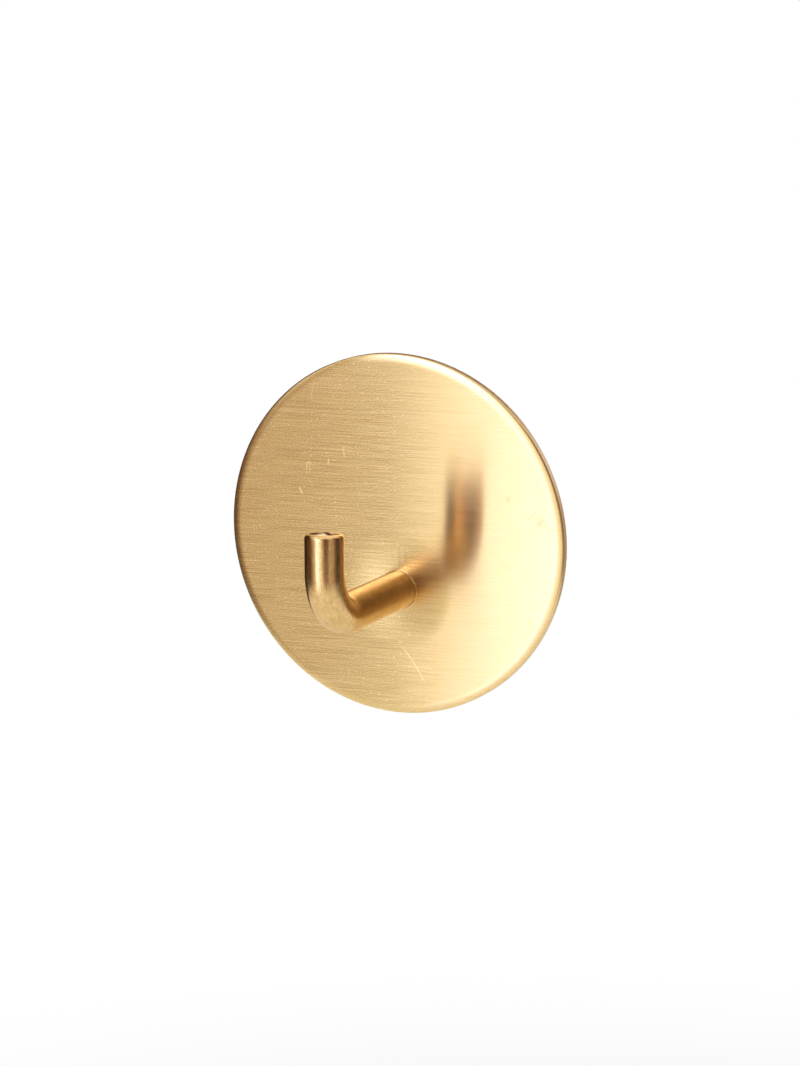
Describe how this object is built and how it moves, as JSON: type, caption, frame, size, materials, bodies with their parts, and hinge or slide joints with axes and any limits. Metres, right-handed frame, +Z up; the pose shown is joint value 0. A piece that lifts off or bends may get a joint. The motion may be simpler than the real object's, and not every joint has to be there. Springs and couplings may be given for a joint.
{
  "type": "adhesive wall hook",
  "caption": "Round brushed wall plate on a foam tape pad, with a round rod riveted into it and bent upward into a hook for light things to hang on.",
  "frame": {"origin": "middle of the foam tape's wall side", "axes": "+Y into the wall along the plate's own axis, +Z up, and the hook stands out of the plate towards -Y"},
  "size_m": [0.056, 0.0308, 0.056],
  "materials": {
    "brushed_brass": "brushed in straight lines across the plate, with a few fine scratches",
    "satin_brass": "satin, polished along the rod",
    "foam_tape": "matt closed-cell foam with a sticky film"
  },
  "bodies": {
    "root": {"back_plate": "brushed_brass", "hook_pin": "satin_brass", "adhesive_pad": "foam_tape"}
  },
  "joints": []
}
